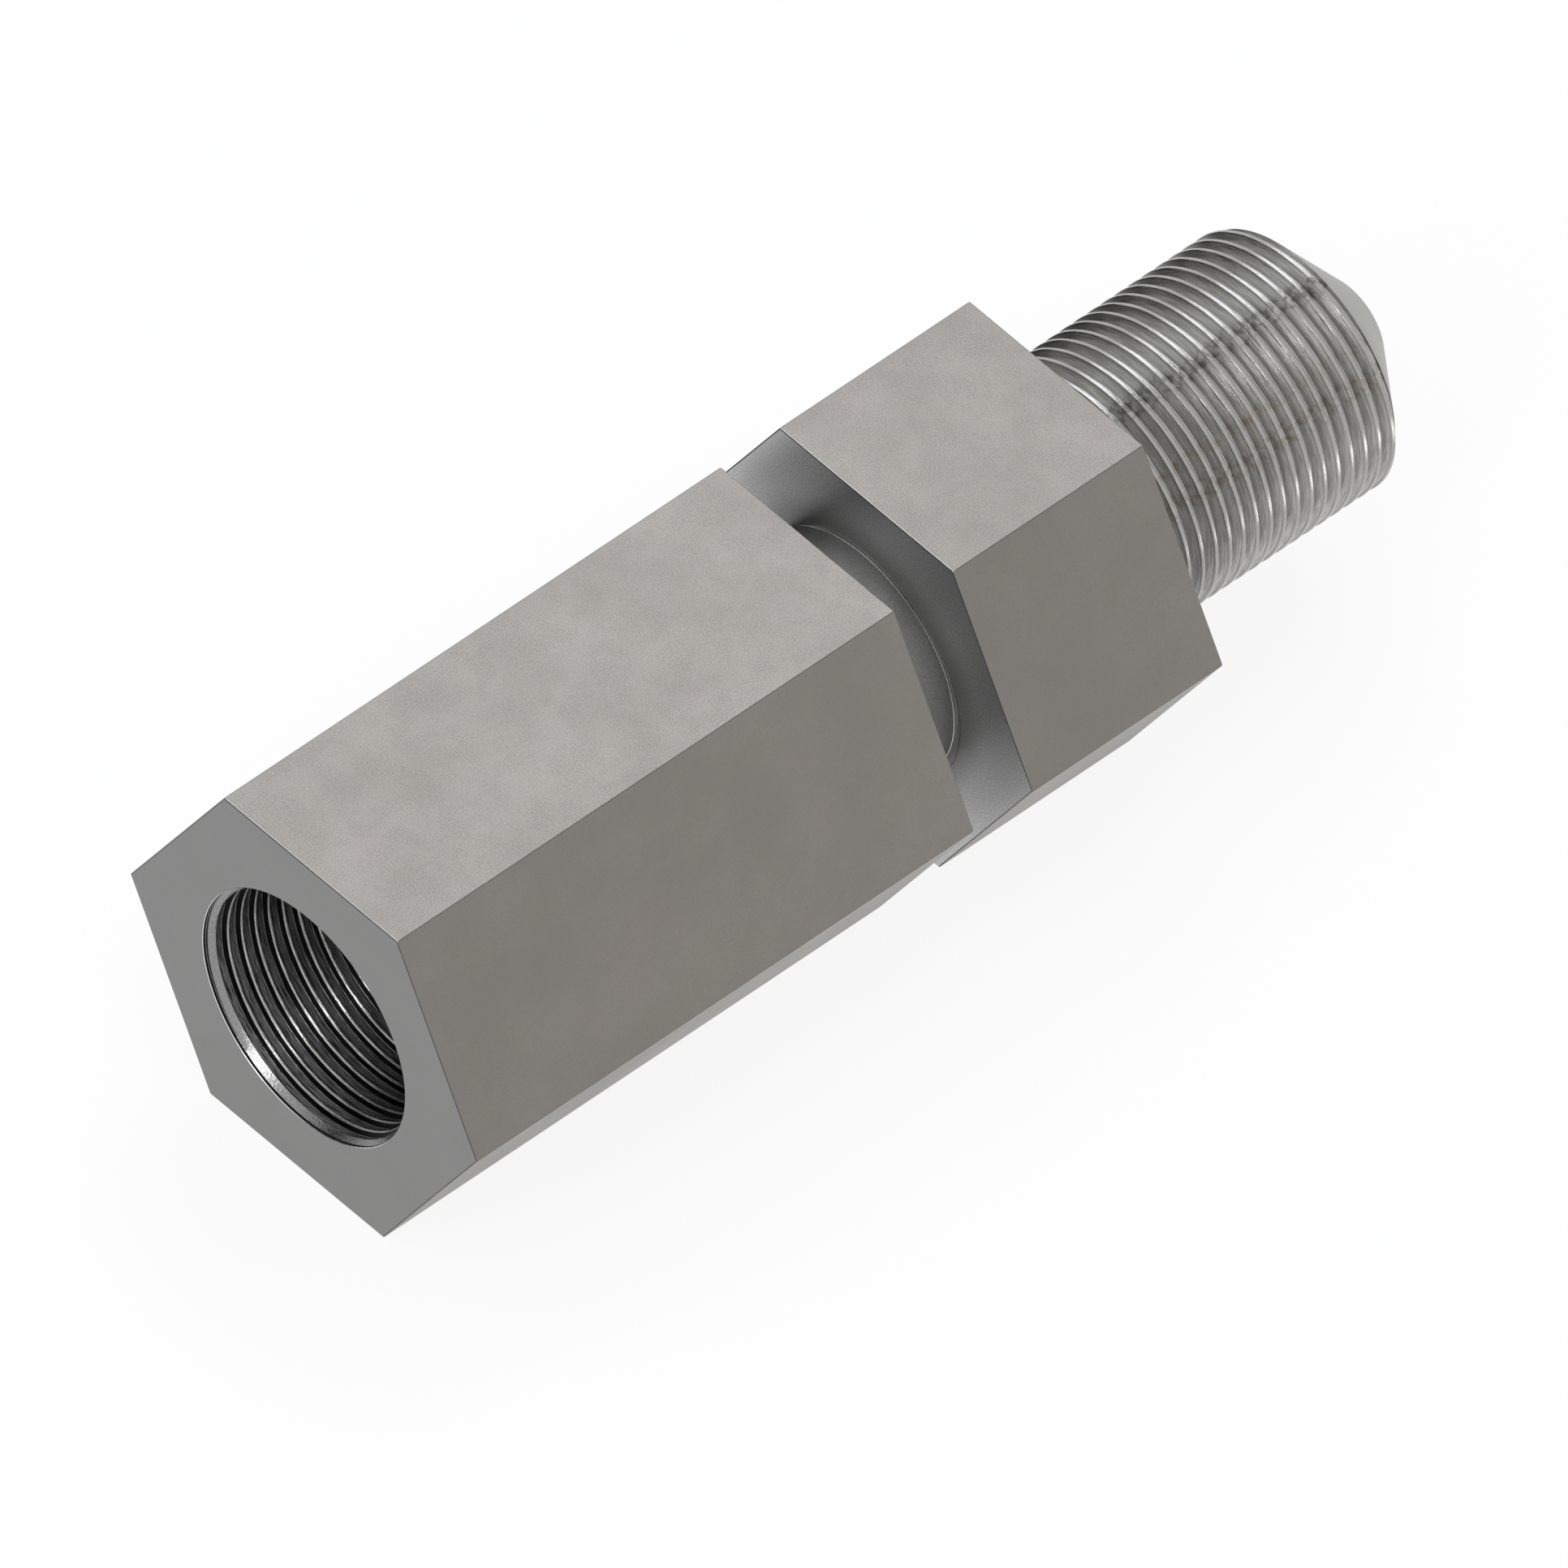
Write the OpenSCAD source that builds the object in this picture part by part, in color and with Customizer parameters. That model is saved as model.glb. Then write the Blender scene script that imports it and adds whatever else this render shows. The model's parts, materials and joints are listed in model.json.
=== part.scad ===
// Bulkhead fitting: a hex body with a threaded port at one end and a long
// threaded shank with a cone nose at the other, and the lock nut on the shank.
// The axis runs along X from the middle of the port's mouth, at the origin, to
// the nose, and both pieces lie on a flat of their hex. A panel goes between the
// body's shoulder and the nut. Each thread is a plain wall at its largest
// diameter, so the nut, and a fitting in the port, run clear of the crests.

/* [Hex] */
// Width across the flats of the hex bar that the body and the nut are cut from
hex_af = 50.8; // [44:0.1:60]

/* [Body] */
// Length of the body's hex, from the port's mouth to the shoulder
body_hex_l = 77.5; // [66:0.5:100]
// Diameter of the plain neck, cut to the root of the thread
neck_d = 32.4; // [30:0.1:34]
// Length of the neck, from the shoulder to where the thread starts
neck_l = 9.6; // [4:0.1:12]
// Outside diameter of the shank's thread
thread_d = 34.925; // [34:0.025:38]
// Length of the shank, from the shoulder to the foot of the nose
shank_l = 76.7; // [60:0.1:100]

/* [Nose] */
// Angle between the nose's cone and the axis, in degrees
nose_angle = 53; // [35:1:60]
// Diameter of the flat tip of the nose
nose_tip_d = 11.8; // [11:0.1:20]

/* [Port] */
// Outside diameter of the port's thread
port_d = 34.925; // [32:0.025:38]
// Length of the port's thread, from the mouth
port_thread_l = 38; // [20:0.5:44]
// Diameter of the groove that ends the port's thread
groove_d = 36.4; // [35.5:0.1:40]
// Width of that groove
groove_w = 4; // [2:0.1:6]
// Angle between the cone seat and the axis, in degrees
seat_angle = 53; // [45:1:60]
// Diameter of the flow passage, through to the nose
flow_d = 9.5; // [5:0.1:10.5]

/* [Lock nut] */
// Height of the nut along the axis
nut_h = 29.7; // [12:0.1:34]
// Gap for the panel, from the body's shoulder to the nut
panel_gap = 9.1; // [1:0.1:20]
// Depth of the chamfer at each end of the nut's bore
nut_lead = 0.4; // [0.1:0.1:1]

/* [Fits] */
// Gap all round between a thread's plain wall and what screws into it
thread_clearance = 0.05; // [0.02:0.01:0.1]

/* [Hidden] */
$fn = 96;
hex_sides = 6;
// How far a cut runs past the face it opens, and the shank into the hex
past = 1;

thread_r = thread_d / 2;
neck_r = neck_d / 2;
tip_r = nose_tip_d / 2;
port_r = port_d / 2 + thread_clearance;
groove_r = groove_d / 2;
flow_r = flow_d / 2;
nut_bore_r = thread_r + thread_clearance;

// Stations along the axis
shoulder_x = body_hex_l;
neck_end_x = shoulder_x + neck_l;
thread_start_x = neck_end_x + thread_r - neck_r;
nose_x = shoulder_x + shank_l;
tip_x = nose_x + (thread_r - tip_r) / tan(nose_angle);
groove_end_x = port_thread_l + groove_w;
seat_end_x = groove_end_x + (port_r - flow_r) / tan(seat_angle);
nut_x = shoulder_x + panel_gap;

// A length of hex bar along X with flats at the top and the bottom
module hex_bar(length) {
    rotate([0, 90, 0])
        rotate([0, 0, 180 / hex_sides])
            cylinder(d = hex_af / cos(180 / hex_sides), h = length, $fn = hex_sides);
}

// A turned form about X, from an outline of [radius, station] points
module turned(outline) {
    rotate([0, 90, 0])
        rotate_extrude()
            polygon(outline);
}

// Neck, thread and cone nose, with a 45 degree run up from neck to thread
module shank() {
    turned([
        [0, shoulder_x - past],
        [neck_r, shoulder_x - past],
        [neck_r, neck_end_x],
        [thread_r, thread_start_x],
        [thread_r, nose_x],
        [tip_r, tip_x],
        [0, tip_x]
    ]);
}

// Port, thread groove, cone seat and flow passage
module waterway() {
    turned([
        [0, -past],
        [port_r, -past],
        [port_r, port_thread_l],
        [groove_r, port_thread_l + groove_r - port_r],
        [groove_r, groove_end_x],
        [port_r, groove_end_x],
        [flow_r, seat_end_x],
        [flow_r, tip_x + past],
        [0, tip_x + past]
    ]);
}

module fitting_body() {
    color([0.66, 0.65, 0.64])
        difference() {
            union() {
                hex_bar(body_hex_l);
                shank();
            }
            waterway();
        }
}

// The nut's bore, with a chamfer at both faces
module nut_bore() {
    turned([
        [0, -past],
        [nut_bore_r + nut_lead + past, -past],
        [nut_bore_r, nut_lead],
        [nut_bore_r, nut_h - nut_lead],
        [nut_bore_r + nut_lead + past, nut_h + past],
        [0, nut_h + past]
    ]);
}

module lock_nut() {
    color([0.60, 0.59, 0.57])
        translate([nut_x, 0, 0])
            difference() {
                hex_bar(nut_h);
                nut_bore();
            }
}

fitting_body();
lock_nut();
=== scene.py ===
import json
from math import cos, hypot, pi, radians, sin, tan

import bpy
from mathutils import Matrix, Vector


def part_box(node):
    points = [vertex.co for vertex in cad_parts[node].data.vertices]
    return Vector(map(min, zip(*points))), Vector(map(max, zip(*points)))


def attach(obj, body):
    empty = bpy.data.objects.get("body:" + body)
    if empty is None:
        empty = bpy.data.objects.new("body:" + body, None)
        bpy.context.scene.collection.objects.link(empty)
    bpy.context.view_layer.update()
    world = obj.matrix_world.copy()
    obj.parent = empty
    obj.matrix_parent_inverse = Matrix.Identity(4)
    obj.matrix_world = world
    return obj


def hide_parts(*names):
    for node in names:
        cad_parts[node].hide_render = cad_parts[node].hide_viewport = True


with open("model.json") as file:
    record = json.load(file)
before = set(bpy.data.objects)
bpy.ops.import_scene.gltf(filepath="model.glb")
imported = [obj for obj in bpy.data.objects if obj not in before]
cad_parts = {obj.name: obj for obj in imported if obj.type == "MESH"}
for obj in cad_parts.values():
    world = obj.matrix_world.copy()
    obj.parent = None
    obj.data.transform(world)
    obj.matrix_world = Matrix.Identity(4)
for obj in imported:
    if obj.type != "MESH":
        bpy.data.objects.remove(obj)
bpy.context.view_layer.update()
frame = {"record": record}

MM = 0.001

# What the solids give: stations along the axis, from the mouth of the port, the width of the hex, and the
# radius of the plain wall that stands for the thread of the port and the nut
mounts = {mount["name"]: mount for mount in frame["record"]["mounts"]}
port = mounts["female_port"]["dims"]
HEX_AF = 2 * mounts["wrench_flat"]["pos_m"][2]
SHOULDER_X = mounts["panel_shoulder"]["pos_m"][0]
NUT_X = (mounts["nut_face"]["pos_m"][0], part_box("lock_nut")[1].x)
NOSE_X = mounts["male_end"]["pos_m"][0]
PORT_THREAD_L = port["length_mm"] * MM
BORE_R = port["r_mm"] * MM

# The turned forms, with radii about the axis
NECK_R = 16.2 * MM
NECK_END_X = SHOULDER_X + 9.6 * MM
NECK_FILLET = 0.4 * MM
NOSE_ANGLE = radians(53)
TIP_R = 5.9 * MM
FLOW_R = 4.75 * MM
GROOVE_R = 18.2 * MM
GROOVE_X = (PORT_THREAD_L, PORT_THREAD_L + 4 * MM)
SEAT_ANGLE = radians(53)

# The mouth: a broken edge, a short straight wall, then the lead-in down to the thread
MOUTH_R = 17.07 * MM
MOUTH_BREAK = 0.08 * MM
LEAD_IN_X = (0.42 * MM, 1.3 * MM)

# Threads of twelve turns to the inch, right-handed, with 60 degree flanks
PITCH = 25.4 / 12 * MM
FLANK = tan(radians(30))

# The shank's thread, with the width and the rounding of its crests, and the tip of its cone
SHANK_THREAD_R = BORE_R - 0.05 * MM
SHANK_ROOT_R = 16.17 * MM
SHANK_CREST = PITCH / 5
SHANK_ROUNDING = 0.1 * MM
NOSE_SLOPE = tan(NOSE_ANGLE)
TIP_X = NOSE_X + (SHANK_THREAD_R - TIP_R) / NOSE_SLOPE
ROD_END_X = NOSE_X + 12 * MM

# The nut's thread, with its play on the shank's
NUT_MINOR_R = 16.28 * MM
NUT_PLAY = 0.035 * MM

# The port's thread, with the width of its roots and the rounding of its crests
PORT_ROOT_R = 17.04 * MM
PORT_MINOR_R = 16.3 * MM
PORT_ROOT = 0.85 * MM
PORT_ROUNDING = 0.34 * MM

# Where a ridge crosses the side towards the camera, and a port ridge the wall across from it
NEAR_SIDE = radians(122.52)
FAR_SIDE = NEAR_SIDE + pi
SHANK_CREST_X = 128.15 * MM
PORT_CREST_X = 3.19 * MM

# The shank's thread starts just inside the nut, and the neck has a fine bead before it
THREAD_START_X = NUT_X[0] + 0.03 * MM
BEAD_X = (NUT_X[0] - 0.2 * MM, NUT_X[0])
BEAD_H = 0.04 * MM

# Faces in a full turn, how far edges are broken, how close two points are one, and how far a tool runs
# past what it cuts
TURN_STEPS = 120
EDGE_BREAK = 0.17 * MM
CORNER_BREAK = 0.06 * MM
BORE_BREAK = 0.05 * MM
SAME_POINT = 0.002 * MM
REACH = 1 * MM

# How a face's place and lean tell its finish: near is within CLOSE, an end face leans SQUARE_ON or more,
# and the first of the three faces of a broken end edge leans between the two values of FIRST_BREAK
CLOSE = 0.1 * MM
NEAR_EDGE = EDGE_BREAK * 1.2
SQUARE_ON = 0.999
FIRST_BREAK = (0.1, 0.5)
CONE_LEAN = sin(NOSE_ANGLE)
SAME_LEAN = 0.015


def deselect():
    bpy.ops.object.select_all(action="DESELECT")


def name_piece(name):
    """Names the primitive that was just added and moves its place into its mesh."""
    bpy.ops.object.transform_apply(location=True, rotation=True, scale=True)
    piece = bpy.context.object
    piece.name = name
    piece.data.name = name
    return piece


def close_up():
    """Merges doubles and turns all faces outwards, in edit mode."""
    bpy.ops.mesh.select_all(action="SELECT")
    bpy.ops.mesh.remove_doubles(threshold=SAME_POINT)
    bpy.ops.mesh.normals_make_consistent(inside=False)


def draw_outline(name, points):
    """A chain of edges through (station, radius) points, drawn by extruding one vertex."""
    deselect()
    station, radius = points[0]
    bpy.ops.mesh.primitive_plane_add(size=MM, location=(station, radius, 0))
    piece = name_piece(name)
    bpy.ops.object.mode_set(mode="EDIT")
    bpy.ops.mesh.select_mode(type="VERT")
    bpy.ops.mesh.select_all(action="SELECT")
    bpy.ops.mesh.merge(type="CENTER")
    for (x0, r0), (x1, r1) in zip(points, points[1:]):
        bpy.ops.mesh.extrude_vertices_move(TRANSFORM_OT_translate={"value": (x1 - x0, r1 - r0, 0)})
    bpy.ops.object.mode_set(mode="OBJECT")
    return piece


def turned(name, points):
    """A solid turned about the axis, from an outline that starts and ends on the axis."""
    piece = draw_outline(name, points)
    bpy.ops.object.mode_set(mode="EDIT")
    bpy.ops.mesh.select_all(action="SELECT")
    bpy.ops.mesh.spin(steps=TURN_STEPS, angle=2 * pi, center=(0, 0, 0), axis=(1, 0, 0))
    close_up()
    bpy.ops.object.mode_set(mode="OBJECT")
    return piece


def rounded(centre_x, centre_r, radius, start, end, steps=3):
    """Outline points round a corner. The angles are in degrees, from the axis direction outwards."""
    turns = [radians(start + (end - start) * step / steps) for step in range(steps + 1)]
    return [(centre_x + radius * cos(t), centre_r + radius * sin(t)) for t in turns]


def ridge_outline(crest_r, root_r, crest, crest_rounding=0, root_rounding=0):
    """One pitch of a ridge with rounded corners, from the middle of one root to the middle of the next."""
    half_foot = crest / 2 + (crest_r - root_r) * FLANK
    fall = [(crest / 2, crest_r), (half_foot, root_r)]
    if crest_rounding:
        corner_x = crest / 2 - crest_rounding * FLANK
        fall[:1] = rounded(corner_x, crest_r - crest_rounding, crest_rounding, 90, 30)
    if root_rounding:
        corner_x = half_foot + root_rounding * FLANK
        fall[-1:] = rounded(corner_x, root_r + root_rounding, root_rounding, 210, 270)
    rise = [(-x, r) for x, r in reversed(fall)]
    return [(-PITCH / 2, root_r), *rise, *fall, (PITCH / 2, root_r)]


def threaded_rod(name, ridge, ridge_x, side, start_x, end_x):
    """A rod with a right-hand thread, cut square at both ends.

    The middle of a ridge is at ridge_x on the given side, an angle about the axis.
    """
    zero_x = ridge_x - PITCH * side / (2 * pi)
    first_x = zero_x - PITCH * (int((zero_x - start_x) / PITCH) + 2)
    piece = draw_outline(name, [(first_x + x, r) for x, r in ridge])
    screw = piece.modifiers.new("thread", "SCREW")
    screw.axis = "X"
    screw.steps = screw.render_steps = TURN_STEPS
    screw.iterations = int((end_x - first_x) / PITCH) + 2
    screw.screw_offset = PITCH
    bpy.ops.object.modifier_apply(modifier=screw.name)
    bpy.ops.object.mode_set(mode="EDIT")
    close_up()
    for x, at_start in ((start_x, True), (end_x, False)):
        bpy.ops.mesh.select_all(action="SELECT")
        bpy.ops.mesh.bisect(
            plane_co=(x, 0, 0),
            plane_no=(1, 0, 0),
            use_fill=True,
            clear_inner=at_start,
            clear_outer=not at_start,
            threshold=SAME_POINT,
        )
    close_up()
    bpy.ops.object.mode_set(mode="OBJECT")
    return piece


def hex_bar(name, start_x, end_x):
    """Hex bar with flats at the top and the bottom, its corners and then its end edges lightly broken."""
    deselect()
    bpy.ops.mesh.primitive_cylinder_add(
        vertices=6,
        radius=HEX_AF / 2 / cos(pi / 6),
        depth=end_x - start_x,
        location=((start_x + end_x) / 2, 0, 0),
        rotation=(0, pi / 2, 0),
    )
    piece = name_piece(name)
    for along, offset, segments in ((True, CORNER_BREAK, 1), (False, EDGE_BREAK, 3)):
        bpy.ops.object.mode_set(mode="EDIT")
        bpy.ops.mesh.select_mode(type="EDGE")
        bpy.ops.mesh.select_all(action="DESELECT")
        bpy.ops.object.mode_set(mode="OBJECT")
        for edge in piece.data.edges:
            first, last = [piece.data.vertices[i].co.x for i in edge.vertices]
            edge.select = (abs(last - first) > REACH) == along
        bpy.ops.object.mode_set(mode="EDIT")
        bpy.ops.mesh.bevel(offset=offset, segments=segments, affect="EDGES")
        close_up()
        bpy.ops.object.mode_set(mode="OBJECT")
    return piece


def combine(piece, tool, operation):
    """Joins tool to piece, cuts it out of it, or trims piece to it. The tool is used up."""
    deselect()
    piece.select_set(True)
    bpy.context.view_layer.objects.active = piece
    boolean = piece.modifiers.new(operation.lower(), "BOOLEAN")
    boolean.operation = operation
    boolean.solver = "MANIFOLD"
    boolean.object = tool
    bpy.ops.object.modifier_apply(modifier=boolean.name)
    bpy.data.objects.remove(tool)


def shank_blank():
    """What the shank is turned to before threading, with the cone nose."""
    over_r = SHANK_THREAD_R + REACH
    return turned("shank_blank", [
        (THREAD_START_X, 0),
        (THREAD_START_X, over_r),
        (NOSE_X - REACH / NOSE_SLOPE, over_r),
        (TIP_X - EDGE_BREAK / NOSE_SLOPE, TIP_R + EDGE_BREAK),
        (TIP_X, TIP_R - EDGE_BREAK),
        (TIP_X, 0),
    ])


def neck():
    """The plain neck, with a small fillet in its corner at the shoulder and a bead at the thread."""
    start_x = SHOULDER_X - REACH
    end_x = NECK_END_X + REACH / 3
    bead_start, bead_end = BEAD_X
    return turned("neck", [
        (start_x, 0),
        (start_x, NECK_R + NECK_FILLET),
        *rounded(SHOULDER_X + NECK_FILLET, NECK_R + NECK_FILLET, NECK_FILLET, 180, 270, 5),
        (bead_start, NECK_R),
        (bead_start + BEAD_H, NECK_R + BEAD_H),
        (bead_end - BEAD_H, NECK_R + BEAD_H),
        (bead_end, NECK_R),
        (end_x, NECK_R),
        (end_x, 0),
    ])


def waterway():
    """The mouth's lead-in, the groove that ends the thread, the cone seat and the flow passage."""
    core_r = PORT_MINOR_R - REACH
    lead_start, lead_end = LEAD_IN_X
    lead_slope = (MOUTH_R - PORT_MINOR_R) / (lead_end - lead_start)
    groove_start, groove_end = GROOVE_X
    seat_end = groove_end + (BORE_R - FLOW_R) / tan(SEAT_ANGLE)
    return turned("waterway", [
        (-REACH, 0),
        (-REACH, MOUTH_R + MOUTH_BREAK + REACH),
        (MOUTH_BREAK, MOUTH_R),
        (lead_start, MOUTH_R),
        (lead_end + REACH / lead_slope, core_r),
        (groove_start - (BORE_R - core_r), core_r),
        (groove_start + GROOVE_R - BORE_R, GROOVE_R),
        (groove_end, GROOVE_R),
        (groove_end, BORE_R),
        (seat_end, FLOW_R),
        (TIP_X - BORE_BREAK, FLOW_R),
        (TIP_X + REACH, FLOW_R + BORE_BREAK + REACH),
        (TIP_X + REACH, 0),
    ])


def make_fitting_body():
    """The hex and the threaded shank in one piece, tapped and bored for the port and the passage."""
    shank = threaded_rod(
        "shank",
        ridge_outline(SHANK_THREAD_R, SHANK_ROOT_R, SHANK_CREST, crest_rounding=SHANK_ROUNDING),
        SHANK_CREST_X,
        NEAR_SIDE,
        THREAD_START_X - REACH,
        ROD_END_X,
    )
    combine(shank, shank_blank(), "INTERSECT")
    combine(shank, neck(), "UNION")
    body = hex_bar("fitting_body_steel", 0, SHOULDER_X)
    combine(body, shank, "UNION")
    tap = threaded_rod(
        "port_tap",
        ridge_outline(PORT_ROOT_R, PORT_MINOR_R, PORT_ROOT, root_rounding=PORT_ROUNDING),
        PORT_CREST_X + PITCH / 2,
        FAR_SIDE,
        -REACH,
        GROOVE_X[0] + REACH,
    )
    combine(body, tap, "DIFFERENCE")
    combine(body, waterway(), "DIFFERENCE")
    return body


def make_lock_nut():
    """The nut, tapped all through with a thread that meshes with the shank's."""
    start_x, end_x = NUT_X
    nut = hex_bar("lock_nut_steel", start_x, end_x)
    crest = SHANK_CREST + 2 * NUT_PLAY - 2 * (BORE_R - SHANK_THREAD_R) * FLANK
    tap = threaded_rod(
        "nut_tap",
        ridge_outline(BORE_R, NUT_MINOR_R, crest),
        SHANK_CREST_X,
        NEAR_SIDE,
        start_x - REACH,
        end_x + REACH,
    )
    combine(nut, tap, "DIFFERENCE")
    edge_r = NUT_MINOR_R + BORE_BREAK
    bore = turned("nut_bore", [
        (start_x - REACH, 0),
        (start_x - REACH, edge_r + REACH),
        (start_x + BORE_BREAK + REACH, NUT_MINOR_R - REACH),
        (end_x - BORE_BREAK - REACH, NUT_MINOR_R - REACH),
        (end_x + REACH, edge_r + REACH),
        (end_x + REACH, 0),
    ])
    combine(nut, bore, "DIFFERENCE")
    return nut


# Finishes, in the order of each piece's material slots
(
    FLAT,
    TOP_FLAT,
    # Painted shade on the broken edges, and a painted highlight on some of them
    PAINTED_SHADE_EDGE,
    PAINTED_HIGHLIGHT_EDGE,
    FACE,
    CONE,
    # Painted shade in the corner at the neck
    GAP,
    # Painted shade on the mouth's short wall
    PAINTED_SHADE_WALL,
    MOUTH,
    BORE,
    SHANK_THREAD,
    PORT_THREAD,
) = range(12)
PLANE = (FLAT, TOP_FLAT, PAINTED_SHADE_EDGE, PAINTED_HIGHLIGHT_EDGE, FACE, GAP)

# The sides that the flats of the hex face, as angles about the axis
FLAT_TURNS = [radians(30), radians(90), radians(150)]


def finish_at(x, y, z, lean):
    """Which finish a face has, from where it is and how far it leans along the axis, -1 to 1."""
    towards_port = lean < 0
    lean = abs(lean)
    radius = hypot(y, z)
    across = max(abs(y * cos(t) + z * sin(t)) for t in FLAT_TURNS)
    at_top = z > HEX_AF / 2 - NEAR_EDGE
    flat = TOP_FLAT if at_top else FLAT
    if across > HEX_AF / 2 - CLOSE / 10:
        return flat
    if lean < SQUARE_ON and across > HEX_AF / 2 - NEAR_EDGE:
        # Broken end edges: a painted highlight on the top edge towards the port, and painted shade on the
        # rest
        if FIRST_BREAK[0] < lean < FIRST_BREAK[1]:
            return PAINTED_HIGHLIGHT_EDGE if towards_port and at_top else flat
        return PAINTED_SHADE_EDGE
    in_gap = SHOULDER_X - CLOSE < x < NUT_X[0] + CLOSE
    if lean > SQUARE_ON:
        return GAP if in_gap else FACE
    if in_gap and radius > NECK_R - CLOSE:
        # Painted highlight on the bead, and painted shade on the rest of the neck
        return PAINTED_HIGHLIGHT_EDGE if BEAD_X[0] < x < BEAD_X[1] else GAP
    # Painted highlight on the mouth's broken edge
    if x < MOUTH_BREAK and radius > MOUTH_R:
        return PAINTED_HIGHLIGHT_EDGE
    # Painted shade on the mouth's short wall
    if x < LEAD_IN_X[0] and radius > MOUTH_R - CLOSE:
        return PAINTED_SHADE_WALL
    if x < LEAD_IN_X[1]:
        return MOUTH
    if x > NOSE_X and abs(lean - CONE_LEAN) < SAME_LEAN:
        return CONE
    if radius > PORT_MINOR_R - 2 * CLOSE and x < GROOVE_X[0]:
        return PORT_THREAD
    if radius > SHANK_ROOT_R - 2 * CLOSE and x > SHOULDER_X:
        return SHANK_THREAD
    return BORE


def dress(piece, materials):
    """Gives every face its finish, and shades the round ones smooth up to the sharp edges."""
    piece.data.materials.clear()
    for material in materials:
        piece.data.materials.append(material)
    for face in piece.data.polygons:
        face.material_index = finish_at(*face.center, face.normal.x)
    deselect()
    piece.select_set(True)
    bpy.context.view_layer.objects.active = piece
    bpy.ops.object.mode_set(mode="EDIT")
    close_up()
    bpy.ops.mesh.select_all(action="DESELECT")
    bpy.ops.mesh.select_mode(type="FACE")
    bpy.ops.object.mode_set(mode="OBJECT")
    bpy.ops.object.shade_smooth_by_angle(angle=radians(32))
    for face in piece.data.polygons:
        curved = face.material_index == GAP and abs(face.normal.x) < SQUARE_ON
        face.select = face.material_index in PLANE and not curved
    bpy.ops.object.mode_set(mode="EDIT")
    bpy.ops.mesh.select_mode(type="FACE")
    bpy.ops.mesh.faces_shade_flat()
    bpy.ops.object.mode_set(mode="OBJECT")


def new_group(name, inputs, outputs):
    """An empty shader node group with float inputs and outputs, and its two end nodes."""
    group = bpy.data.node_groups.new(name, "ShaderNodeTree")
    for label, value in inputs.items():
        socket = group.interface.new_socket(name=label, in_out="INPUT", socket_type="NodeSocketFloat")
        socket.default_value = value
    for label in outputs:
        group.interface.new_socket(name=label, in_out="OUTPUT", socket_type="NodeSocketFloat")
    return group, group.nodes.new("NodeGroupInput").outputs, group.nodes.new("NodeGroupOutput").inputs


def add_node(tree, kind, inputs=(), **settings):
    """A node with its settings, and a value or a link on each named input."""
    node = tree.nodes.new("ShaderNode" + kind)
    for name, value in settings.items():
        setattr(node, name, value)
    for name, value in dict(inputs).items():
        if isinstance(value, bpy.types.NodeSocket):
            tree.links.new(value, node.inputs[name])
        else:
            node.inputs[name].default_value = value
    return node


def sums(tree, operation, *values):
    """The result of a sum on one or two values."""
    node = add_node(tree, "Math", enumerate(values), operation=operation)
    return node.outputs[0]


def spread(tree, value, low, high, to_low, to_high):
    """Takes value from low..high to to_low..to_high, eased at both ends."""
    node = add_node(
        tree,
        "MapRange",
        {"Value": value, "From Min": low, "From Max": high, "To Min": to_low, "To Max": to_high},
        interpolation_type="SMOOTHSTEP",
    )
    return node.outputs["Result"]


def object_place(tree):
    """The point on the piece, in metres."""
    return add_node(tree, "TexCoord").outputs["Object"]


def about_axis(tree, place):
    """That point's x, y and z, and its distance from the axis."""
    split = add_node(tree, "SeparateXYZ", {"Vector": place}).outputs
    squares = [sums(tree, "MULTIPLY", split[axis], split[axis]) for axis in ("Y", "Z")]
    return split, sums(tree, "SQRT", sums(tree, "ADD", *squares))


def noise(tree, vector, scale, detail, roughness=0.5, **more):
    """Soft noise from 0 to 1, in four dimensions where W is given."""
    inputs = {"Vector": vector, "Scale": scale, "Detail": detail, "Roughness": roughness, **more}
    kind = "4D" if "W" in more else "3D"
    return add_node(tree, "TexNoise", inputs, noise_dimensions=kind).outputs["Fac"]


def make_mottle():
    """Cloudy patches and a fine grain, as on cold drawn bar."""
    sizes = {"Patch Size": 10 * MM, "Grain Size": 0.4 * MM, "Start": 0.0}
    group, given, out = new_group("mottle", sizes, ["Patches", "Grain"])
    place = object_place(group)
    patch_scale = sums(group, "DIVIDE", 1.0, given["Patch Size"])
    grain_scale = sums(group, "DIVIDE", 1.0, given["Grain Size"])
    patches = noise(group, place, patch_scale, 4.0, 0.6, W=given["Start"])
    grain = noise(group, place, grain_scale, 3.0, 0.7, W=given["Start"])
    group.links.new(spread(group, patches, 0.3, 0.7, 0.0, 1.0), out["Patches"])
    group.links.new(spread(group, grain, 0.3, 0.7, 0.0, 1.0), out["Grain"])
    return group


def make_turning_marks():
    """Fine rings left by the tool, about the axis."""
    group, given, out = new_group("turning_marks", {"Spacing": 0.3 * MM}, ["Rings"])
    split, radius = about_axis(group, object_place(group))
    line = add_node(group, "CombineXYZ", {"X": split["X"], "Y": radius, "Z": 0.0}).outputs[0]
    rings = noise(group, line, sums(group, "DIVIDE", 1.0, given["Spacing"]), 2.0)
    group.links.new(spread(group, rings, 0.25, 0.75, 0.0, 1.0), out["Rings"])
    return group


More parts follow.
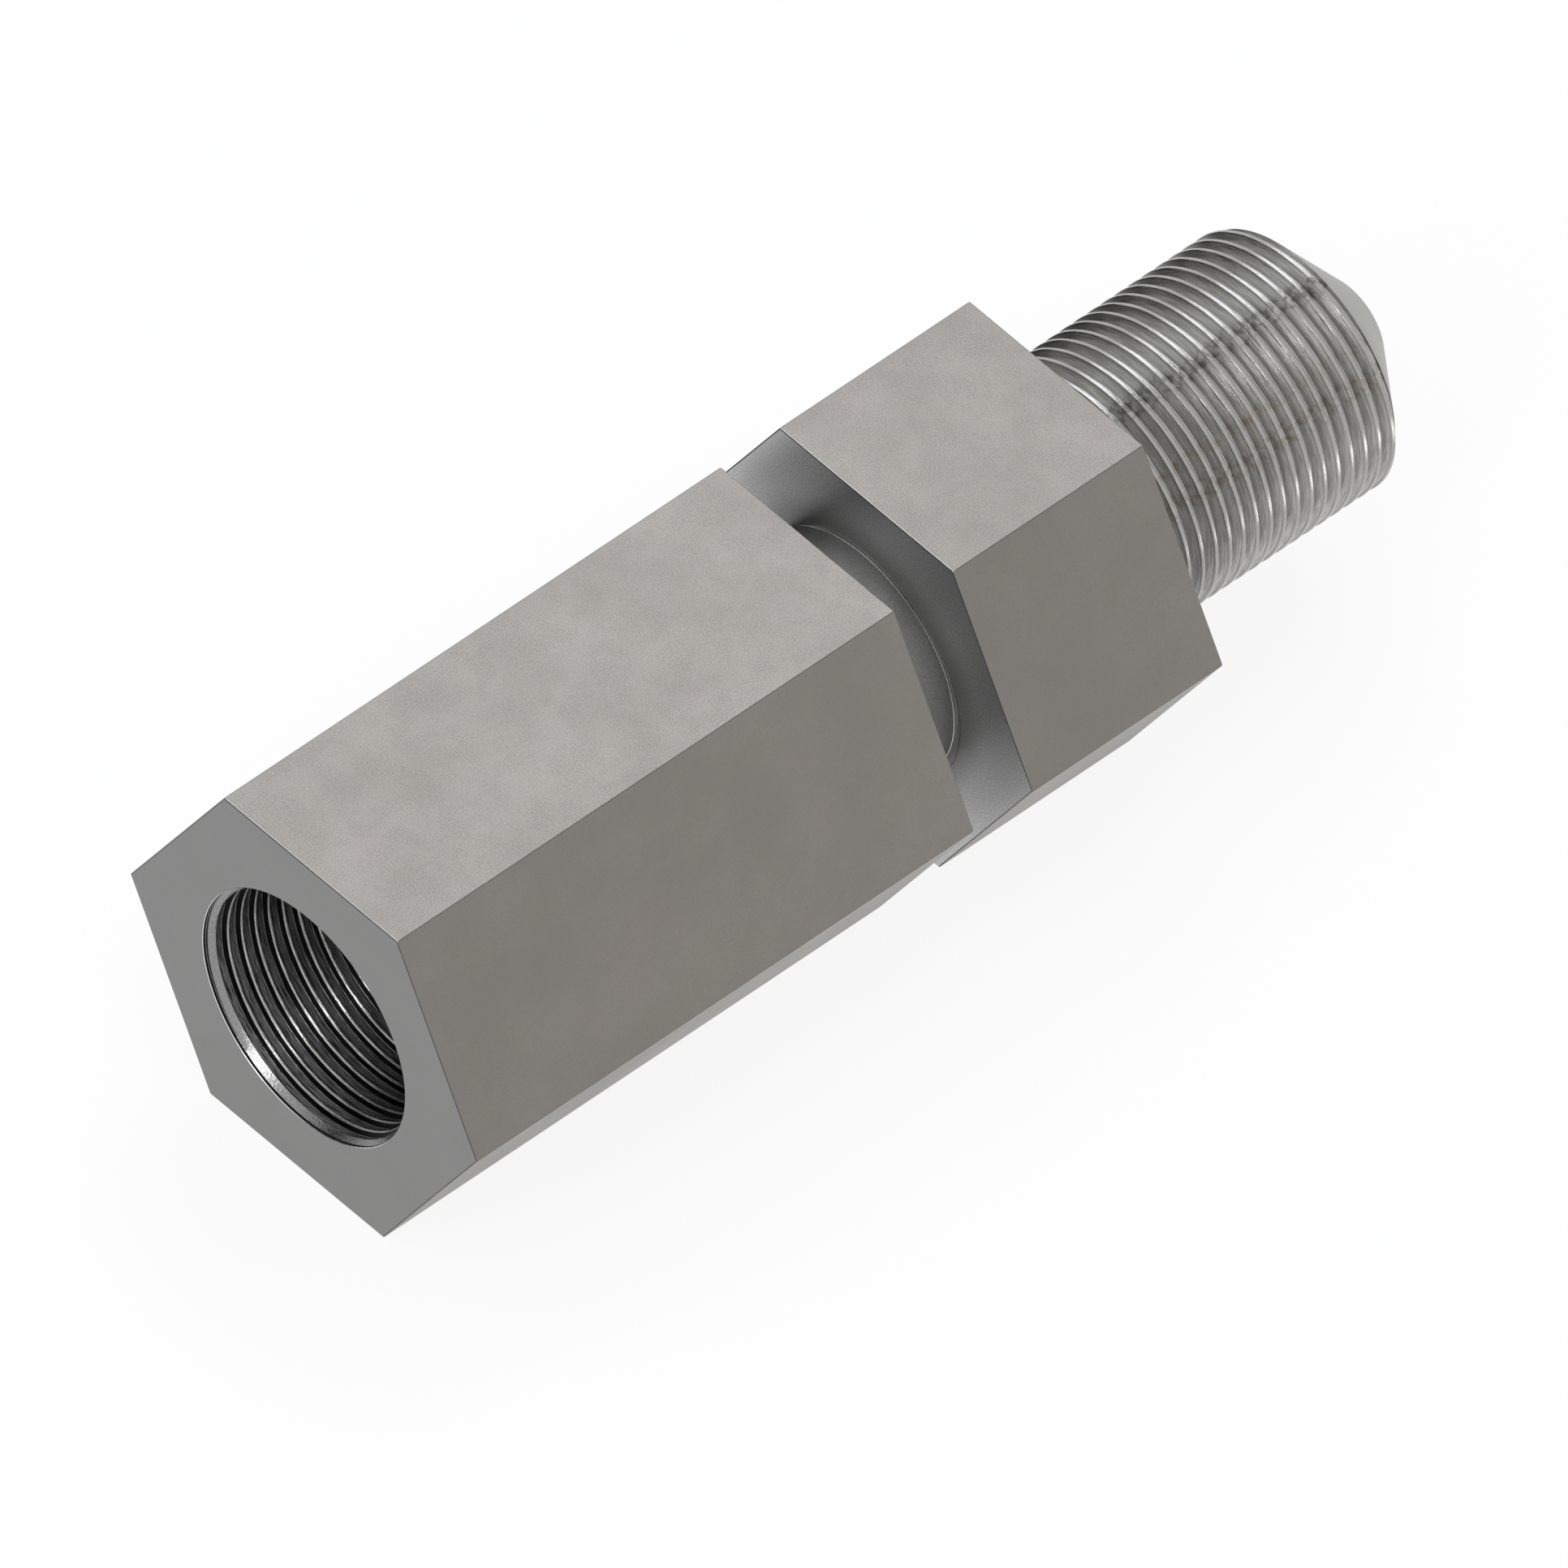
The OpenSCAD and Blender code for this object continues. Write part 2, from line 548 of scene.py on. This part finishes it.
def make_thread_streaks():
    """Streaks along the thread, its crests with a line of painted shade on each side, and its roots.

    The depths are measured from the radius of the crests, and the painted shade lines are a little deeper
    than twice the crests. A larger Streak Length gives shorter streaks.
    """
    sizes = {
        "Streak Width": 0.1 * MM,
        "Streak Length": 6.0,
        "Crest Radius": 10 * MM,
        "Crest Depth": 0.1 * MM,
        "Root Depth": 1 * MM,
    }
    group, given, out = new_group("thread_streaks", sizes, ["Streaks", "Crest", "Border", "Root"])
    split, radius = about_axis(group, object_place(group))
    around = [sums(group, "DIVIDE", split[axis], radius) for axis in ("Y", "Z")]
    turned_y, turned_z = [sums(group, "MULTIPLY", given["Streak Length"], value) for value in around]
    across = sums(group, "DIVIDE", split["X"], given["Streak Width"])
    deep = sums(group, "DIVIDE", radius, given["Streak Width"])
    line = add_node(group, "CombineXYZ", {"X": across, "Y": turned_y, "Z": turned_z}).outputs[0]
    streaks = noise(group, line, 1.0, 3.0, 0.6, W=deep)
    group.links.new(spread(group, streaks, 0.38, 0.62, 0.0, 1.0), out["Streaks"])
    below = sums(group, "ABSOLUTE", sums(group, "SUBTRACT", radius, given["Crest Radius"]))
    steps = sums(group, "DIVIDE", below, given["Crest Depth"])
    group.links.new(spread(group, steps, 0.6, 1.4, 1.0, 0.0), out["Crest"])
    off_border = sums(group, "ABSOLUTE", sums(group, "SUBTRACT", steps, 2.4))
    group.links.new(spread(group, off_border, 0.3, 1.3, 1.0, 0.0), out["Border"])
    share = sums(group, "DIVIDE", below, given["Root Depth"])
    group.links.new(spread(group, share, 0.9, 0.97, 0.0, 1.0), out["Root"])
    return group


def make_painted_reflection_row():
    """Spots of painted reflection in a row along the piece, on the side facing the given angle about the
    axis.
    """
    sizes = {"Angle": 2.0, "Width": 0.1, "Spot Size": 1 * MM}
    group, given, out = new_group("smudge_row", sizes, ["Smudges"])
    place = object_place(group)
    split, radius = about_axis(group, place)
    parts = [sums(group, operation, given["Angle"]) for operation in ("COSINE", "SINE")]
    products = [sums(group, "MULTIPLY", split[axis], part) for axis, part in zip(("Y", "Z"), parts)]
    turn = sums(group, "ARCCOSINE", sums(group, "DIVIDE", sums(group, "ADD", *products), radius))
    row = spread(group, sums(group, "DIVIDE", turn, given["Width"]), 0.4, 1.2, 1.0, 0.0)
    spots = noise(group, place, sums(group, "DIVIDE", 1.0, given["Spot Size"]), 3.0, 0.6)
    spotty = spread(group, spots, 0.46, 0.58, 0.0, 1.0)
    group.links.new(sums(group, "MULTIPLY", row, spotty), out["Smudges"])
    return group


def make_corner_shade():
    """How far a point is out from the neck, from 0 at the neck to 1 towards the hex."""
    group, given, out = new_group("corner_shade", {"Start": 16.5 * MM, "End": 27 * MM}, ["Out"])
    radius = about_axis(group, object_place(group))[1]
    group.links.new(spread(group, radius, given["Start"], given["End"], 0.0, 1.0), out["Out"])
    return group


mottle = make_mottle()
turning_marks = make_turning_marks()
thread_streaks = make_thread_streaks()
smudge_row = make_painted_reflection_row()
corner_shade = make_corner_shade()


def place_group(tree, group, values):
    """The outputs of a group that is placed in a material with these values."""
    node = add_node(tree, "Group", node_tree=group)
    for name, value in values.items():
        node.inputs[name].default_value = value
    return node.outputs


def blend_colours(tree, mask, first, second):
    """The first colour where the mask is 0, and the second where it is 1."""
    node = add_node(tree, "Mix", data_type="RGBA")
    tree.links.new(mask, node.inputs["Factor"])
    for name, colour in (("A", first), ("B", second)):
        socket = next(s for s in node.inputs if s.name == name and s.type == "RGBA")
        if isinstance(colour, bpy.types.NodeSocket):
            tree.links.new(colour, socket)
        else:
            socket.default_value = (*colour, 1.0)
    return next(s for s in node.outputs if s.type == "RGBA")


def new_steel(name):
    """An empty metal material, with its node tree and its shader's inputs."""
    material = bpy.data.materials.new(name)
    material.use_nodes = True
    tree = material.node_tree
    shader = tree.nodes["Principled BSDF"]
    shader.inputs["Metallic"].default_value = 1.0
    return material, tree, shader.inputs


def raise_marks(tree, shader, height, strength, depth):
    """Gives the marks that depth under the light."""
    bump = add_node(tree, "Bump", {"Height": height, "Strength": strength, "Distance": depth})
    tree.links.new(bump.outputs["Normal"], shader["Normal"])


def times(colour, factor):
    """The colour, darker or lighter by that factor."""
    return [channel * factor for channel in colour]


def bar_steel(name, light, dark, start, sand):
    """Cold drawn bar: soft clouds of slightly different greys, and a sandy grain, sand from 0 to 1."""
    material, tree, shader = new_steel(name)
    marks = place_group(tree, mottle, {"Patch Size": 12 * MM, "Grain Size": 0.2 * MM, "Start": start})
    hues = place_group(tree, mottle, {"Patch Size": 9 * MM, "Grain Size": 5 * MM, "Start": start + 3.0})
    mossy = [0.985, 1.003, 0.985]
    rosy = [1.02, 0.98, 1.0]
    clouds = []
    for cast in (mossy, rosy):
        shades = [[part * share for part, share in zip(colour, cast)] for colour in (dark, light)]
        clouds.append(blend_colours(tree, marks["Patches"], *shades))
    sandy = sums(tree, "MULTIPLY", marks["Grain"], spread(tree, hues["Grain"], 0.2, 0.8, 0.65, 0.85))
    tinted = blend_colours(tree, hues["Patches"], *clouds)
    tree.links.new(blend_colours(tree, sandy, tinted, times(dark, 1 - sand)), shader["Base Color"])
    tree.links.new(spread(tree, marks["Patches"], 0.0, 1.0, 0.4, 0.37), shader["Roughness"])
    raise_marks(tree, shader, marks["Grain"], 0.5, 0.02 * MM)
    return material


def turned_steel(name, light, dark, grain_size=0.3 * MM, dull=0.4):
    """A faced or turned surface: even, with fine rings and a little grain."""
    material, tree, shader = new_steel(name)
    marks = place_group(tree, mottle, {"Patch Size": 14 * MM, "Grain Size": grain_size, "Start": 5.0})
    rings = place_group(tree, turning_marks, {"Spacing": 0.25 * MM})
    grain_part = sums(tree, "MULTIPLY", marks["Grain"], 0.6)
    ring_part = sums(tree, "MULTIPLY", rings["Rings"], 0.4)
    tone = sums(tree, "ADD", grain_part, ring_part)
    tree.links.new(blend_colours(tree, tone, dark, light), shader["Base Color"])
    roughness = spread(tree, marks["Patches"], 0.0, 1.0, dull + 0.02, dull - 0.02)
    tree.links.new(roughness, shader["Roughness"])
    raise_marks(tree, shader, rings["Rings"], 0.1, 0.01 * MM)
    return material


def gap_steel(name, outer, inner):
    """The faces of the gap and the neck: painted shade, dark in the corner at the neck, lighter towards the
    hex.
    """
    material, tree, shader = new_steel(name)
    marks = place_group(tree, mottle, {"Patch Size": 6 * MM, "Grain Size": 0.2 * MM, "Start": 9.0})
    shade = place_group(tree, corner_shade, {"Start": 16.5 * MM, "End": 21.5 * MM})
    colour = blend_colours(tree, shade["Out"], inner, outer)
    cover = sums(tree, "MULTIPLY", marks["Grain"], 0.7)
    tree.links.new(blend_colours(tree, cover, colour, times(inner, 0.5)), shader["Base Color"])
    tree.links.new(spread(tree, marks["Patches"], 0.0, 1.0, 0.36, 0.3), shader["Roughness"])
    raise_marks(tree, shader, marks["Grain"], 0.4, 0.015 * MM)
    return material


def thread_steel(
    name, crest, flank, root, crest_radius, crest_depth, root_depth, dim_share, mark_depth, painted_reflection_rows=()
):
    """Cut threads: crests between lines of painted shade, streaky flanks and roots, and rows of spots of
    painted reflection.

    The dark streaks have dim_share of the clean colours. A row of painted reflection has its angle about
    the axis and its width, both in degrees, and its colour.
    """
    material, tree, shader = new_steel(name)
    marks = place_group(tree, thread_streaks, {
        "Streak Width": 0.13 * MM,
        "Streak Length": 5.0,
        "Crest Radius": crest_radius,
        "Crest Depth": crest_depth,
        "Root Depth": root_depth,
    })
    clean = blend_colours(tree, marks["Root"], flank, root)
    dim = blend_colours(tree, marks["Root"], times(flank, dim_share), times(root, dim_share))
    streaky = blend_colours(tree, sums(tree, "MULTIPLY", marks["Streaks"], 0.9), clean, dim)
    worn = blend_colours(tree, sums(tree, "MULTIPLY", marks["Crest"], 0.8), streaky, crest)
    # Painted shade: a dark line on each side of the crests
    colour = blend_colours(tree, sums(tree, "MULTIPLY", marks["Border"], 0.55), worn, times(flank, 0.35))
    # Each row is a painted reflection: spots along the piece at one angle about the axis
    for angle, width, reflection_tint in painted_reflection_rows:
        row = place_group(tree, smudge_row, {
            "Angle": radians(angle),
            "Width": radians(width),
            "Spot Size": 0.9 * MM,
        })
        colour = blend_colours(tree, sums(tree, "MULTIPLY", row["Smudges"], 0.6), colour, reflection_tint)
    tree.links.new(colour, shader["Base Color"])
    streak_share = spread(tree, marks["Streaks"], 0.0, 1.0, 0.28, 0.18)
    polish = sums(tree, "SUBTRACT", marks["Crest"], streak_share)
    tree.links.new(spread(tree, polish, 0.0, 0.8, 0.3, 0.17), shader["Roughness"])
    raise_marks(tree, shader, marks["Streaks"], 0.4, mark_depth)
    return material


def plain_steel(name, light, dark, dull, grain_depth=0):
    """A small surface with an even finish and a little grain."""
    material, tree, shader = new_steel(name)
    marks = place_group(tree, mottle, {"Patch Size": 2 * MM, "Grain Size": 0.3 * MM, "Start": 3.0})
    tree.links.new(blend_colours(tree, marks["Grain"], dark, light), shader["Base Color"])
    roughness = spread(tree, marks["Patches"], 0.0, 1.0, dull + 0.04, dull - 0.04)
    tree.links.new(roughness, shader["Roughness"])
    if grain_depth:
        raise_marks(tree, shader, marks["Grain"], 0.6, grain_depth)
    return material


def steels(piece, shade, start):
    """The finishes of a piece, in slot order, its colours shaded and its clouds from their own start."""
    def tint(*colour):
        return times(colour, shade)

    # Colours of the rows of painted reflection on the shank's thread
    brown_reflection = (0.25, 0.21, 0.165)
    tan_reflection = (0.33, 0.29, 0.24)
    black_reflection = (0.1, 0.1, 0.1)
    return [
        bar_steel(piece + "_flat", tint(0.245, 0.23, 0.21), tint(0.222, 0.211, 0.192), start, sand=0.1),
        bar_steel(
            piece + "_top_flat", tint(0.273, 0.257, 0.235), tint(0.26, 0.246, 0.225), start, sand=0.45
        ),
        # Painted shade on the broken edges
        plain_steel(piece + "_dark_edge", (0.13, 0.13, 0.13), (0.09, 0.09, 0.09), dull=0.4),
        # Painted highlight on broken edges, on the bead and on the mouth's rim
        plain_steel(piece + "_light_edge", (0.68, 0.68, 0.68), (0.55, 0.55, 0.55), dull=0.25),
        turned_steel(piece + "_face", tint(0.255, 0.255, 0.253), tint(0.24, 0.24, 0.238)),
        turned_steel(piece + "_cone", tint(0.31, 0.308, 0.292), tint(0.29, 0.288, 0.272)),
        # Painted shade: dark in the corner at the neck, lighter towards the hex
        gap_steel(piece + "_gap", tint(0.67, 0.67, 0.67), tint(0.345, 0.343, 0.34)),
        # Painted shade on the mouth's short wall
        plain_steel(piece + "_wall", (0.05, 0.05, 0.05), (0.025, 0.025, 0.025), dull=0.6),
        plain_steel(
            piece + "_mouth", (0.3, 0.3, 0.3), (0.22, 0.22, 0.22), dull=0.18, grain_depth=0.02 * MM
        ),
        turned_steel(
            piece + "_bore", tint(0.45, 0.445, 0.44), tint(0.38, 0.375, 0.37), grain_size=0.4 * MM, dull=0.3
        ),
        thread_steel(
            piece + "_shank_thread",
            crest=(0.36, 0.356, 0.348),
            flank=(0.5, 0.492, 0.477),
            root=(0.5, 0.492, 0.477),
            crest_radius=SHANK_THREAD_R,
            crest_depth=0.07 * MM,
            root_depth=1.2 * MM,
            dim_share=0.62,
            mark_depth=0.03 * MM,
            # Rows of painted reflection, brownish and black, at set angles about the axis
            painted_reflection_rows=[(146.5, 6, brown_reflection), (132.5, 3.5, tan_reflection), (102.5, 6, black_reflection)],
        ),
        thread_steel(
            piece + "_port_thread",
            crest=(0.58, 0.574, 0.563),
            # Painted shade: the port's flanks are near black
            flank=(0.012, 0.012, 0.013),
            root=(0.55, 0.55, 0.56),
            crest_radius=PORT_MINOR_R,
            crest_depth=0.14 * MM,
            root_depth=PORT_ROOT_R - PORT_MINOR_R,
            dim_share=0.2,
            mark_depth=0.07 * MM,
        ),
    ]


body = make_fitting_body()
dress(body, steels("body", shade=1.0, start=0.0))
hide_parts("fitting_body")
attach(body, "body")

nut = make_lock_nut()
dress(nut, steels("nut", shade=0.97, start=7.0))
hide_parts("lock_nut")
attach(nut, "nut")


# The stage

def add_panel(name, size, location, tilt=0, turn=0):
    """A flat panel of the stage, tilted about its length and then turned about the vertical."""
    deselect()
    rotation = (radians(tilt), 0, radians(turn))
    bpy.ops.mesh.primitive_plane_add(size=1, location=location, rotation=rotation)
    panel = bpy.context.object
    panel.name = name
    panel.scale = (size[0], size[1], 1)
    return panel


def stage_material(name):
    """An empty material, with its node tree and the socket for its surface."""
    material = bpy.data.materials.new(name)
    material.use_nodes = True
    tree = material.node_tree
    tree.nodes.clear()
    return material, tree, add_node(tree, "OutputMaterial").inputs["Surface"]


def background_share(tree):
    """1 for what the camera sees, straight or in metal and glass, and 0 for light on the object."""
    rays = add_node(tree, "LightPath").outputs
    straight_or_metal = sums(tree, "MAXIMUM", rays["Is Camera Ray"], rays["Is Glossy Ray"])
    return sums(tree, "MAXIMUM", straight_or_metal, rays["Is Transmission Ray"])


def white_floor():
    """White to the camera and in the steel, with a light shadow under the object."""
    material, tree, surface = stage_material("white_floor")
    cloth = add_node(tree, "BsdfDiffuse", {"Color": (0.95, 0.95, 0.95, 1)})
    glow = add_node(tree, "Emission", {"Color": (1, 1, 1, 1), "Strength": 1.0})
    glow_share = sums(tree, "MULTIPLY", background_share(tree), 0.88)
    mix = add_node(tree, "MixShader", {0: glow_share, 1: cloth.outputs[0], 2: glow.outputs[0]})
    tree.links.new(mix.outputs[0], surface)
    return material


def plain(name, grey):
    """An even glow of that grey, for the cards that only the steel reflects."""
    material, tree, surface = stage_material(name)
    glow = add_node(tree, "Emission", {"Color": (1, 1, 1, 1), "Strength": grey})
    tree.links.new(glow.outputs[0], surface)
    return material


def add_card(name, grey, size, location, tilt=0, turn=0):
    """A card that is seen only in the steel, as something in the room around it."""
    card = add_panel(name, size, location, tilt, turn)
    card.data.materials.append(plain(name, grey))
    card.visible_camera = False
    card.visible_diffuse = False
    card.visible_shadow = False
    card.visible_transmission = False


floor = add_panel("floor", (6, 6), (0.05, 0, -HEX_AF / 2))
floor.data.materials.append(white_floor())

# Two dark cards darken the far flanks of the thread, and a bright one puts glints in the near crests.
# Their sizes and places, and those of the floor and the lamps, are in metres
card_z = -HEX_AF / 2 + MM
add_card("dark_back_card", 0.03, (0.75, 0.5), (-0.62, 0.72, 0.22), tilt=90, turn=49.1)
add_card("dark_floor_card", 0.03, (0.9, 0.34), (-0.166, 0.438, card_z), turn=144.4)
add_card("glint_card", 3.0, (0.03, 0.027), (0.17, -0.0575, card_z))

world = bpy.data.worlds.new("studio")
bpy.context.scene.world = world
world.use_nodes = True
sky = world.node_tree
air = sky.nodes["Background"]
sky.links.new(spread(sky, background_share(sky), 0.0, 1.0, 0.8, 1.0), air.inputs["Strength"])
air.inputs["Color"].default_value = (1, 1, 1, 1)


def add_softbox(name, towards, distance, size, power, colour=(1, 1, 1)):
    """A square lamp in that direction from the middle of the object, facing it."""
    lamp = bpy.data.lights.new(name, "AREA")
    lamp.shape = "SQUARE"
    lamp.size = size
    lamp.energy = power
    lamp.color = colour
    box = bpy.data.objects.new(name, lamp)
    bpy.context.scene.collection.objects.link(box)
    middle = Vector((0.08, 0, 0))
    direction = Vector(towards).normalized()
    box.location = middle + direction * distance
    box.rotation_mode = "QUATERNION"
    box.rotation_quaternion = direction.to_track_quat("Z", "Y")


add_softbox(
    "top_softbox",
    towards=(0.4687, 0.4748, 0.7446),
    distance=1.5,
    size=0.85,
    power=4.3,
    colour=(0.96, 1.01, 1.09),
)
add_softbox("front_softbox", towards=(-0.785, -0.221, 0.578), distance=1.0, size=0.32, power=2.2)

# The camera's view: its right, its up, and back towards it. The port's mouth lies down and to the left
# of the frame's middle
RIGHT = Vector((0.7352, -0.6765, 0.0314))
UP = Vector((0.4901, 0.5618, 0.6667))
BACK = Vector((-0.4687, -0.4748, 0.7446))
FRAME_WIDTH = 179.64 * MM
FRAME_MIDDLE = RIGHT * 54.9 * MM + UP * 26.7 * MM
STAND_BACK = BACK * 0.6
lens = bpy.data.cameras.new("camera")
lens.type = "ORTHO"
lens.ortho_scale = FRAME_WIDTH
camera = bpy.data.objects.new("camera", lens)
bpy.context.scene.collection.objects.link(camera)
turn = Matrix((RIGHT, UP, BACK)).transposed().to_4x4()
camera.matrix_world = Matrix.Translation(FRAME_MIDDLE + STAND_BACK) @ turn
bpy.context.scene.camera = camera
bpy.context.scene.view_settings.view_transform = "Standard"
